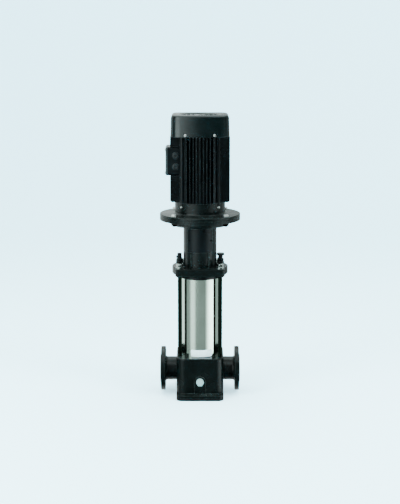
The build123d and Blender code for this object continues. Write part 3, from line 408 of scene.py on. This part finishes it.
# ---------------------------------------------------------------- materials
def painted(name, deep, pale, worn_and_lit, rough, bump, grain, specular):
    """A coat on a casting: colour drift, dust on top, wear and a painted highlight along the edges.
    """
    material, tree, shader = new_material(name)
    cast = use_group(material, groups["cast"])
    cast.inputs["Grain"].default_value = grain
    edge = use_group(material, groups["edge"])
    dust = use_group(material, groups["dust"])
    body = add_mix(tree, cast.outputs["Drift"], deep, pale)
    dusted = add_math(tree, "MULTIPLY", dust.outputs["Mask"], dust_share)
    dusty = add_mix(tree, dusted, body, dust_colour)
    # the worn colour on the edges is partly wear and partly painted highlight: it draws light lines
    # where glossy edges would catch the light
    rubbed_and_lit = add_math(tree, "MULTIPLY", edge.outputs["Mask"], wear_and_highlight_share)
    tree.links.new(add_mix(tree, rubbed_and_lit, dusty, worn_and_lit), shader.inputs["Base Color"])
    smoother, rougher = coat_roughness_spread
    rough_between(material, cast.outputs["Drift"], rough + smoother, rough + rougher)
    shader.inputs["Specular IOR Level"].default_value = specular
    link_bump(material, cast.outputs["Height"], bump, coat_bump_distance, edge.outputs["Normal"])
    return material


def crown(material, radius):
    """Bow a coat's flat faces outward a little, as a pressed cover's are."""
    tree = material.node_tree
    split = tree.nodes.new("ShaderNodeSeparateXYZ")
    tree.links.new(object_position(tree), split.inputs[0])
    across = add_math(tree, "MULTIPLY", split.outputs["X"], split.outputs["X"])
    along = add_math(tree, "MULTIPLY", split.outputs["Y"], split.outputs["Y"])
    height = add_math(tree, "MULTIPLY", add_math(tree, "ADD", across, along), -0.5 / radius)
    bow = tree.nodes.new("ShaderNodeBump")
    bow.inputs["Distance"].default_value = 1.0
    tree.links.new(height, bow.inputs["Height"])
    grain = tree.nodes["Principled BSDF"].inputs["Normal"].links[0].from_node
    tree.links.new(grain.inputs["Normal"].links[0].from_socket, bow.inputs["Normal"])
    tree.links.new(bow.outputs["Normal"], grain.inputs["Normal"])


def bare_gasket_faces(material):
    """Leave the turned gasket faces at both port ends bare of the casting's coat."""
    tree = material.node_tree
    shader = tree.nodes["Principled BSDF"]
    split = tree.nodes.new("ShaderNodeSeparateXYZ")
    tree.links.new(object_position(tree), split.inputs[0])
    reach = add_math(tree, "ABSOLUTE", split.outputs["X"], 0.0)
    port_reach = -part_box("suction_flange")[0][0]
    mask = add_ramp(tree, reach, *(port_reach - depth for depth in gasket_face_depths))
    coat = shader.inputs["Base Color"].links[0].from_socket
    tree.links.new(add_mix(tree, mask, coat, gasket_face_colour), shader.inputs["Base Color"])
    tree.links.new(mask, shader.inputs["Metallic"])


def bare_steel(name, tint, rough, streak, stretch, metal=1.0):
    """Bare metal with turning or drawing marks along one direction."""
    material, tree, shader = new_material(name)
    scaled = tree.nodes.new("ShaderNodeMapping")
    scaled.inputs["Scale"].default_value = stretch
    tree.links.new(object_position(tree), scaled.inputs["Vector"])
    marks = add_noise(tree, scaled.outputs["Vector"], 1.0, detail=5.0)
    cloud = add_noise(tree, object_position(tree), metal_cloud_scale)
    shader.inputs["Metallic"].default_value = metal
    dull = tuple(metal_dull_share * value for value in tint[:3]) + (1,)
    tree.links.new(add_mix(tree, marks.outputs["Fac"], dull, tint), shader.inputs["Base Color"])
    both = add_math(tree, "MULTIPLY", marks.outputs["Fac"], cloud.outputs["Fac"])
    rough_between(material, both, rough, rough + metal_roughness_spread)
    link_bump(material, marks.outputs["Fac"], streak, fine_bump_distance)
    return material


def label_vinyl():
    """Clean white label stock: faint fibre, slightly glossy."""
    material, tree, shader = new_material("label_vinyl")
    fibre = add_noise(tree, object_position(tree), label_fibre_scale)
    cloud = add_noise(tree, object_position(tree), label_cloud_scale)
    tree.links.new(add_mix(tree, cloud.outputs["Fac"], *label_tints), shader.inputs["Base Color"])
    rough_between(material, fibre.outputs["Fac"], *label_roughness)
    link_bump(material, fibre.outputs["Fac"], label_fibre_bump, fine_bump_distance)
    return material


def make_materials():
    """Every material of the pump, by finish."""
    made = {finish: painted(*facts) for finish, facts in COATS.items()}
    made.update({finish: bare_steel(*facts) for finish, facts in METALS.items()})
    made["label"] = label_vinyl()
    crown(made["cover"], cover_bow_radius)
    bare_gasket_faces(made["ports"])
    return made


# the nodes that wear each finish; every other node is pressed stainless
WEARERS = {
    "cast": ("base_plate", "port_base", "pump_head", "motor_stool", "drive_end_shield",
             "head_cover"),
    "ports": ("suction_flange", "discharge_flange"),
    "motor": ("stator_housing", "terminal_box", "rear_end_shield", "coupling_guard_front",
              "coupling_guard_back", "priming_plug", "vent_plug", "vent_spindle"),
    "lid": ("terminal_box_lid",),
    "cover": ("fan_cover",),
    "plastic": ("fan", "entry_plugs"),
    "sleeve": ("outer_sleeve",),
    "rod": ("staybolts", "guard_screws"),
    "zinc": ("drain_plug",),
    "bright": ("staybolt_nut_sets", "flange_bolt_sets", "fan_cover_screws", "coupling_screws",
               "coupling_half_front", "coupling_half_back", "motor_shaft", "bearing_balls",
               "bearing_inner_rings", "bearing_outer_rings"),
    "rubber": ("sleeve_seals",),
    "carbide": ("stage_wear_rings", "seal_seat", "seal_ring"),
    "lamination": ("stator_core", "rotor_core"),
    "winding": ("stator_windings",),
}


def dress_frame():
    """Give every CAD node its procedural material."""
    finishes = {name: finish for finish, names in WEARERS.items() for name in names}
    for name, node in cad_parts.items():
        node.data.materials.clear()
        node.data.materials.append(materials[finishes.get(name, "pressed")])


# ---------------------------------------------------------------- mesh helpers
def stand(place, axis=(0, 0, 1)):
    """The matrix that sets a piece's own +Z along an axis at a place."""
    turn = Vector(axis).to_track_quat("Z", "Y").to_matrix().to_4x4()
    return Matrix.Translation(place) @ turn


def round_point(_, reach):
    """A ring's radius is the same at every angle."""
    return reach


def hex_point(angle, reach):
    """A hexagon's radius at an angle, where reach is half its width across flats."""
    return reach / cos((angle % radians(60)) - radians(30))


def bridge(mesh, lower, upper):
    """Faces between two closed rows with the same number of points."""
    for step in range(len(lower)):
        after = (step + 1) % len(lower)
        mesh.faces.new((lower[step], lower[after], upper[after], upper[step]))


def close_rows(mesh, rows):
    """Join rows of points into one closed form with flat ends."""
    for lower, upper in zip(rows, rows[1:]):
        bridge(mesh, lower, upper)
    mesh.faces.new(rows[0])
    mesh.faces.new(rows[-1])


def ring_row(mesh, matrix, height, radius_at):
    """One row of points round an axis, with the radius that a function gives for each step."""
    row = []
    for step in range(ring_points):
        angle = 2 * pi * step / ring_points
        radius = radius_at(step, angle)
        point = Vector((radius * cos(angle), radius * sin(angle), height))
        row.append(mesh.verts.new(matrix @ point))
    return row


def stack_rings(mesh, matrix, rings):
    """Join rings of (height, reach, shape) into one closed turned or hexagonal form."""
    close_rows(mesh, [
        ring_row(mesh, matrix, height, lambda _, angle: shape(angle, reach))
        for height, reach, shape in rings
    ])


def add_nut(mesh, matrix, half_flats, height, both_ends=False):
    """A hexagonal nut or bolt head with its corners turned off."""
    face = half_flats * 2 * nut_face_share
    rings = [(height - nut_chamfer, half_flats, hex_point), (height, face, round_point)]
    if both_ends:
        rings = [(0, face, round_point), (nut_chamfer, half_flats, hex_point)] + rings
    else:
        rings = [(0, half_flats, hex_point)] + rings
    stack_rings(mesh, matrix, rings)


def add_socket_head(mesh, matrix, radius, height, socket_share=0.5):
    """A domed screw head with a hexagonal socket."""
    socket = radius * socket_share
    stack_rings(mesh, matrix, [
        (0, radius, round_point),
        (height * (1 - head_dome_share), radius, round_point),
        (height * (1 - head_dome_share / 4), radius * head_shoulder_share, round_point),
        (height, radius * head_rim_share, round_point),
        (height, socket, hex_point),
        (height / 3, socket * socket_floor_share, hex_point),
    ])


def add_thread(mesh, matrix, low, high, radius):
    """A helical thread between two heights, as rows whose radius follows the turn."""
    rows = []
    turns = (high - low) / thread_pitch
    count = max(thread_rows_least, round(turns * thread_rows_per_turn))
    for level in range(count + 1):
        height = low + (high - low) * level / count

        def thread_point(step, _):
            turn = (height / thread_pitch - step / ring_points) % 1.0
            return radius - thread_depth * abs(2 * turn - 1)

        rows.append(ring_row(mesh, matrix, height, thread_point))
    close_rows(mesh, rows)


def four_places(node, margin_x, margin_y):
    """The four centres of a node's repeated pieces, from its box and their half sizes."""
    low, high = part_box(node)
    reach_x = (high[0] - low[0]) / 2 - margin_x
    reach_y = (high[1] - low[1]) / 2 - margin_y
    return [(x * reach_x, y * reach_y) for x in (-1, 1) for y in (-1, 1)]


# ---------------------------------------------------------------- fasteners
def make_staybolt_rods():
    """The four staybolts: plain shanks with threaded ends."""
    low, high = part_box("staybolts")
    block_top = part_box("port_base")[1][2]
    nut_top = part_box("staybolt_nut_sets")[1][2]
    mesh = bmesh.new()
    for x, y in four_places("staybolts", staybolt_radius, staybolt_radius):
        matrix = stand((x, y, 0))
        root = block_top + rod_thread_show
        add_thread(mesh, matrix, low[2], root, staybolt_radius)
        stack_rings(mesh, matrix, [
            (root, staybolt_radius, round_point),
            (nut_top - thread_pitch, staybolt_radius, round_point),
        ])
        add_thread(mesh, matrix, nut_top - thread_pitch, high[2], staybolt_radius)
    finish_piece("staybolt_rods", mesh, "rod", replaced=("staybolts",))


def make_staybolt_nuts():
    """Washers and chamfered nuts on the staybolts."""
    low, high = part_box("staybolt_nut_sets")
    washer_top = low[2] + washer_thickness
    mesh = bmesh.new()
    nut_height = high[2] - washer_top
    for x, y in four_places("staybolt_nut_sets", washer_radius, washer_radius):
        stack_rings(mesh, stand((x, y, low[2])), [
            (0, washer_radius, round_point),
            (washer_thickness * washer_edge[0], washer_radius, round_point),
            (washer_thickness, washer_radius * washer_edge[1], round_point),
        ])
        add_nut(mesh, stand((x, y, washer_top)), staybolt_nut_half, nut_height, both_ends=True)
    finish_piece("staybolt_nuts_dressed", mesh, "plated", replaced=("staybolt_nut_sets",))


def make_flange_bolts():
    """Bolt heads on the motor flange, nuts and thread ends under the stool's flange."""
    low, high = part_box("flange_bolt_sets")
    flange_top = high[2] - flange_head_height
    flange_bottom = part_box("motor_stool")[1][2] - stool_flange_thickness
    heads, nuts = bmesh.new(), bmesh.new()
    corner = flange_nut_half / cos(radians(30))
    nut_bottom = flange_bottom - flange_nut_height
    for x, y in four_places("flange_bolt_sets", corner, flange_nut_half):
        upright = stand((x, y, 0))
        add_nut(heads, stand((x, y, flange_top)), flange_nut_half, flange_head_height)
        stack_rings(heads, upright, [
            (nut_bottom, flange_bolt_radius, round_point),
            (flange_top, flange_bolt_radius, round_point),
        ])
        add_nut(nuts, stand((x, y, flange_bottom), (0, 0, -1)), flange_nut_half, flange_nut_height)
        add_thread(nuts, upright, low[2], nut_bottom, flange_bolt_radius)
    finish_piece("flange_bolt_heads", heads, "bright", replaced=("flange_bolt_sets",))
    finish_piece("flange_bolt_nuts", nuts, "rod", replaced=("flange_bolt_sets",))


def make_drain_plug():
    """The drain plug's collar and chamfered hexagon."""
    low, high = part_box("drain_plug")
    height = (low[2] + high[2]) / 2
    mesh = bmesh.new()
    face = low[1] + drain_head_height + drain_collar_height
    matrix = stand((0, face, height), (0, -1, 0))
    stack_rings(mesh, matrix, [
        (0, drain_collar_radius, round_point),
        (drain_collar_height * collar_edge[0], drain_collar_radius, round_point),
        (drain_collar_height, drain_collar_radius * collar_edge[1], round_point),
    ])
    top = stand((0, face - drain_collar_height, height), (0, -1, 0))
    add_nut(mesh, top, drain_head_half, drain_head_height)
    add_thread(mesh, stand((0, high[1], height), (0, -1, 0)), 0, high[1] - face, drain_shank_radius)
    finish_piece("drain_plug_dressed", mesh, "zinc", replaced=("drain_plug",))


def make_cover_screws():
    """Socket screws at the foot of the fan cover, front and back."""
    mesh = bmesh.new()
    low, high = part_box("fan_cover_screws")
    reach = (high[0] - low[0]) / 2 - cover_screw_radius
    level = (low[2] + high[2]) / 2
    for x in (-reach, reach):
        for side in (-1, 1):
            matrix = stand((x, side * (high[1] - cover_screw_height), level), (0, side, 0))
            add_socket_head(mesh, matrix, cover_screw_radius, cover_screw_height)
    finish_piece("fan_cover_screw_heads", mesh, "bright", replaced=("fan_cover_screws",))


def make_guard_screws():
    """Two small socket screws in each coupling guard, square to the stool's round wall."""
    mesh = bmesh.new()
    low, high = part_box("coupling_guard_front")
    stool_radius = -low[1]
    level = (low[2] + high[2]) / 2
    turn = asin((high[0] - guard_screw_inset) / stool_radius)
    for side in (-1, 1):
        for angle in (side * pi / 2 - turn, side * pi / 2 + turn):
            way = Vector((cos(angle), sin(angle), 0))
            matrix = stand(way * stool_radius + Vector((0, 0, level)), way)
            add_socket_head(mesh, matrix, guard_screw_radius, guard_screw_height)
    finish_piece("guard_screw_heads", mesh, "rod", replaced=("guard_screws",))


def make_lid_screws():
    """Socket screws in the corners of the terminal box's lid."""
    mesh = bmesh.new()
    low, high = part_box("terminal_box_lid")
    for y in (low[1] + lid_screw_inset, high[1] - lid_screw_inset):
        for z in (low[2] + lid_screw_inset, high[2] - lid_screw_inset):
            matrix = stand((low[0], y, z), (-1, 0, 0))
            add_socket_head(mesh, matrix, lid_screw_radius, lid_screw_height)
    finish_piece("lid_screws", mesh, "bright")


def make_lug_screws():
    """Socket screws that hold the drive-end shield's four lugs to the stator housing."""
    mesh = bmesh.new()
    lug_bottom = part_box("stator_housing")[0][2] - lug_height
    for quarter in range(4):
        angle = radians(45 + 90 * quarter)
        place = Vector((lug_screw_reach * cos(angle), lug_screw_reach * sin(angle), lug_bottom))
        add_socket_head(mesh, stand(place, (0, 0, -1)), lug_screw_radius, lug_screw_height)
    finish_piece("lug_screws", mesh, "bright")


def make_entry_plugs():
    """Blanking plugs of the two cable entries, with a rim and a hexagonal socket."""
    low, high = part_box("entry_plugs")
    middle = (low[0] + high[0]) / 2
    radius = (high[0] - low[0]) / 2
    mesh = bmesh.new()
    for level in (low[2] + radius, high[2] - radius):
        matrix = stand((middle, low[1] + entry_head_height, level), (0, -1, 0))
        add_socket_head(mesh, matrix, radius, entry_head_height, entry_socket_share)
    finish_piece("entry_plug_heads", mesh, "plastic", replaced=("entry_plugs",))


# ---------------------------------------------------------------- label and gasket
def make_sleeve_label():
    """A blank white label with round corners, wrapped on the sleeve above the casting."""
    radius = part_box("outer_sleeve")[1][0] + label_thickness
    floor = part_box("port_base")[1][2] + label_gap
    mesh = bmesh.new()
    lower, upper = [], []
    for step in range(label_columns + 1):
        turn = label_half_turn * (2 * step / label_columns - 1)
        edge = min(label_corner, radius * (label_half_turn - abs(turn)))
        dip = label_corner - (label_corner**2 - (label_corner - edge) ** 2) ** 0.5
        angle = label_centre + turn - pi / 2
        x, y = radius * cos(angle), radius * sin(angle)
        lower.append(mesh.verts.new((x, y, floor + dip)))
        upper.append(mesh.verts.new((x, y, floor + label_height - dip)))
    for step in range(label_columns):
        mesh.faces.new((lower[step], lower[step + 1], upper[step + 1], upper[step]))
    # the new faces have no normals yet, so this adds a back and a rim but no real thickness
    bmesh.ops.solidify(mesh, geom=mesh.faces[:], thickness=label_thickness)
    finish_piece("sleeve_label", mesh, "label")


def rounded_loop(half_width, half_height, corner):
    """A rounded rectangle's outline, corner by corner."""
    loop = []
    for quarter, (right, up) in enumerate(((1, 1), (-1, 1), (-1, -1), (1, -1))):
        for step in range(corner_points + 1):
            angle = radians(90) * (quarter + step / corner_points)
            loop.append((right * (half_width - corner) + corner * cos(angle),
                         up * (half_height - corner) + corner * sin(angle)))
    return loop


def make_lid_gasket():
    """The thin gasket that shows between the terminal box and its lid."""
    low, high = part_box("terminal_box_lid")
    half_width = (high[1] - low[1]) / 2 + gasket_proud
    half_height = (high[2] - low[2]) / 2 + gasket_proud
    level = (low[2] + high[2]) / 2
    mesh = bmesh.new()
    sides = []
    for x in (high[0] - gasket_half, high[0] + gasket_half):
        for inset in (0, gasket_width):
            loop = rounded_loop(half_width - inset, half_height - inset, lid_corner)
            sides.append([mesh.verts.new((x, y, level + z)) for y, z in loop])
    outer_low, inner_low, outer_high, inner_high = sides
    for first, second in ((outer_low, outer_high), (outer_high, inner_high),
                          (inner_high, inner_low), (inner_low, outer_low)):
        bridge(mesh, first, second)
    finish_piece("lid_gasket", mesh, "rubber")


# ---------------------------------------------------------------- studio
def make_bowl():
    """A round paper sweep: flat floor that curves up into a wall on every side."""
    profile = [(0.0, 0.0), (bowl_radius - bowl_curve, 0.0)]
    for step in range(1, bowl_arc_steps + 1):
        angle = step / bowl_arc_steps * pi / 2
        reach = bowl_radius - bowl_curve + bowl_curve * sin(angle)
        profile.append((reach, bowl_curve * (1 - cos(angle))))
    profile.append((bowl_radius, bowl_height))
    mesh = bmesh.new()
    points = [mesh.verts.new((radius, 0, height)) for radius, height in profile]
    edges = [mesh.edges.new(pair) for pair in zip(points, points[1:])]
    bmesh.ops.spin(mesh, geom=points + edges, cent=(0, 0, 0), axis=(0, 0, 1), angle=2 * pi,
                   steps=bowl_turn_steps, use_merge=True)
    bmesh.ops.remove_doubles(mesh, verts=mesh.verts, dist=merge_distance)
    data = bpy.data.meshes.new("paper_sweep")
    mesh.to_mesh(data)
    mesh.free()
    data.shade_smooth()
    sweep = new_object("paper_sweep", data)
    material, _, shader = new_material("paper")
    shader.inputs["Base Color"].default_value = paper_colour
    shader.inputs["Roughness"].default_value = paper_roughness
    shader.inputs["Specular IOR Level"].default_value = paper_specular
    shader.inputs["Emission Color"].default_value = paper_colour
    shader.inputs["Emission Strength"].default_value = paper_glow
    sweep.data.materials.append(material)
    sweep.visible_glossy = False


def add_softbox(name, place, target, width, height, watts):
    """A rectangular soft light aimed at a point, which mirrors don't see."""
    light = bpy.data.lights.new(name, "AREA")
    light.shape = "RECTANGLE"
    light.size = width
    light.size_y = height
    light.energy = watts
    box = new_object(name, light)
    box.location = place
    box.rotation_mode = "QUATERNION"
    box.rotation_quaternion = (Vector(target) - Vector(place)).to_track_quat("-Z", "Y")
    box.visible_glossy = False


def band(tree, value, low, high, soft_low, soft_high):
    """A soft-edged band: 1 between two values, 0 outside."""
    rise = add_ramp(tree, value, low - soft_low, low + soft_low)
    fall = add_ramp(tree, value, high - soft_high, high + soft_high)
    return add_math(tree, "SUBTRACT", rise, fall)


def make_world():
    """The studio as mirrors see it: bands at the table's level, a softbox and a ceiling above."""
    world = bpy.data.worlds.new("studio")
    bpy.context.scene.world = world
    world.use_nodes = True
    tree = world.node_tree
    back = tree.nodes["Background"]
    split = tree.nodes.new("ShaderNodeSeparateXYZ")
    way = tree.nodes.new("ShaderNodeTexCoord").outputs["Generated"]
    tree.links.new(way, split.inputs[0])
    height = split.outputs["Z"]
    ahead = add_math(tree, "MULTIPLY", split.outputs["Y"], -1.0)
    turn = add_math(tree, "ARCTAN2", split.outputs["X"], ahead)
    elsewhere = add_math(tree, "SUBTRACT", 1.0, band(tree, height, *table_rise))
    glow = 0.0
    for limits, strength, share in WORLD_BANDS:
        strip = band(tree, turn, *(radians(limit) for limit in limits))
        dimming = add_math(tree, "MULTIPLY", elsewhere, strength * (1 - share))
        shown = add_math(tree, "SUBTRACT", strength, dimming)
        glow = add_math(tree, "ADD", add_math(tree, "MULTIPLY", strip, shown), glow)
    box_strip = band(tree, turn, *(radians(limit) for limit in softbox_turn))
    box_rise = band(tree, height, *softbox_rise)
    box = add_math(tree, "MULTIPLY", box_strip, box_rise)
    softbox = add_math(tree, "MULTIPLY", box, softbox_glow)
    ceiling = add_math(tree, "MULTIPLY", add_ramp(tree, height, *ceiling_rise), ceiling_glow)
    strength = add_math(tree, "ADD", add_math(tree, "ADD", glow, softbox), ceiling)
    tree.links.new(strength, back.inputs["Strength"])
    back.inputs["Color"].default_value = world_tint


def light_studio():
    """Soft lights for the paper and the pump."""
    for facts in LIGHTS:
        add_softbox(*facts)


groups = {"edge": make_edge_group(), "cast": make_cast_group(), "dust": make_dust_group()}
materials = make_materials()
make_camera()
make_bowl()
make_world()
light_studio()
dress_frame()
make_staybolt_rods()
make_staybolt_nuts()
make_flange_bolts()
make_drain_plug()
make_cover_screws()
make_guard_screws()
make_lid_screws()
make_lug_screws()
make_entry_plugs()
make_sleeve_label()
make_lid_gasket()
